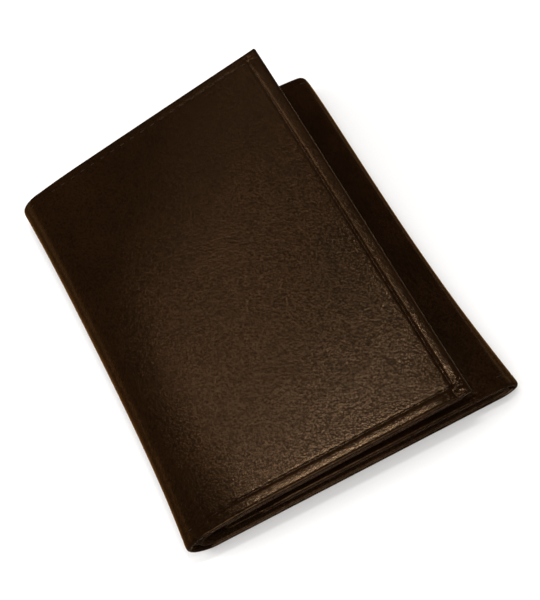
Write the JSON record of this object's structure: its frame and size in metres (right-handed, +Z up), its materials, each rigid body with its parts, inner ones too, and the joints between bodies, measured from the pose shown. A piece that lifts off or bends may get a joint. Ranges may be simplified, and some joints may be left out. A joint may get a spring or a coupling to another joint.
{
  "type": "id badge wallet",
  "caption": "Trifold leather identity wallet with a bill compartment, card pockets, a clear identity window and a badge recess.",
  "frame": {"origin": "middle of the footprint of the closed wallet, on the surface that it lies on", "axes": "+X from the flap's fold to the leaf's fold, +Y along the folds to the open end of the bill compartment, +Z up, out of the flap"},
  "size_m": [0.084, 0.108, 0.0255],
  "materials": {
    "outer_leather": "very dark brown, fine pebbled grain, semi-gloss",
    "inner_leather": "very dark brown smooth leather, satin",
    "bill_lining": "black-brown woven lining cloth",
    "stiffener_board": "plain fibre board",
    "window_film": "clear glossy film"
  },
  "bodies": {
    "back": {"back_outer_leather": "outer_leather", "back_bill_lining": "bill_lining", "back_inner_panel": "inner_leather", "id_window_film": "window_film", "id_window_frame": "outer_leather"},
    "flap_fold": {"flap_fold_outer_leather": "outer_leather", "flap_fold_lining": "bill_lining", "flap_fold_inner_leather": "inner_leather"},
    "flap": {"flap_outer_leather": "outer_leather", "flap_bill_lining": "bill_lining", "flap_inner_panel": "inner_leather", "card_pocket_low": "outer_leather", "card_pocket_middle": "outer_leather", "card_pocket_high": "outer_leather"},
    "leaf_fold": {"leaf_fold_outer_leather": "outer_leather", "leaf_fold_lining": "bill_lining", "leaf_fold_inner_leather": "inner_leather"},
    "leaf": {"leaf_outer_leather": "outer_leather", "leaf_stiffener": "stiffener_board", "leaf_bill_lining": "bill_lining", "leaf_inner_panel": "inner_leather", "badge_frame": "outer_leather"}
  },
  "joints": [
    {"name": "flap_lower_crease", "type": "hinge", "parent": "back", "child": "flap_fold", "pos_m": [-0.04092, 0, 0.00108], "axis": [0, -1, 0], "range_deg": [0, 83]},
    {"name": "flap_upper_crease", "type": "hinge", "parent": "flap_fold", "child": "flap", "pos_m": [-0.04092, 0, 0.00897], "axis": [0, -1, 0], "range_deg": [0, 83]},
    {"name": "leaf_lower_crease", "type": "hinge", "parent": "back", "child": "leaf_fold", "pos_m": [0.04129, 0, 0.00071], "axis": [0, 1, 0], "range_deg": [0, 83]},
    {"name": "leaf_upper_crease", "type": "hinge", "parent": "leaf_fold", "child": "leaf", "pos_m": [0.04129, 0, 0.00592], "axis": [0, 1, 0], "range_deg": [0, 83]}
  ],
  "couplings": [
    {"joint": "flap_lower_crease", "follows": "flap_upper_crease", "ratio": 1},
    {"joint": "leaf_lower_crease", "follows": "flap_upper_crease", "ratio": 0.3},
    {"joint": "leaf_upper_crease", "follows": "flap_upper_crease", "ratio": 0.3}
  ]
}
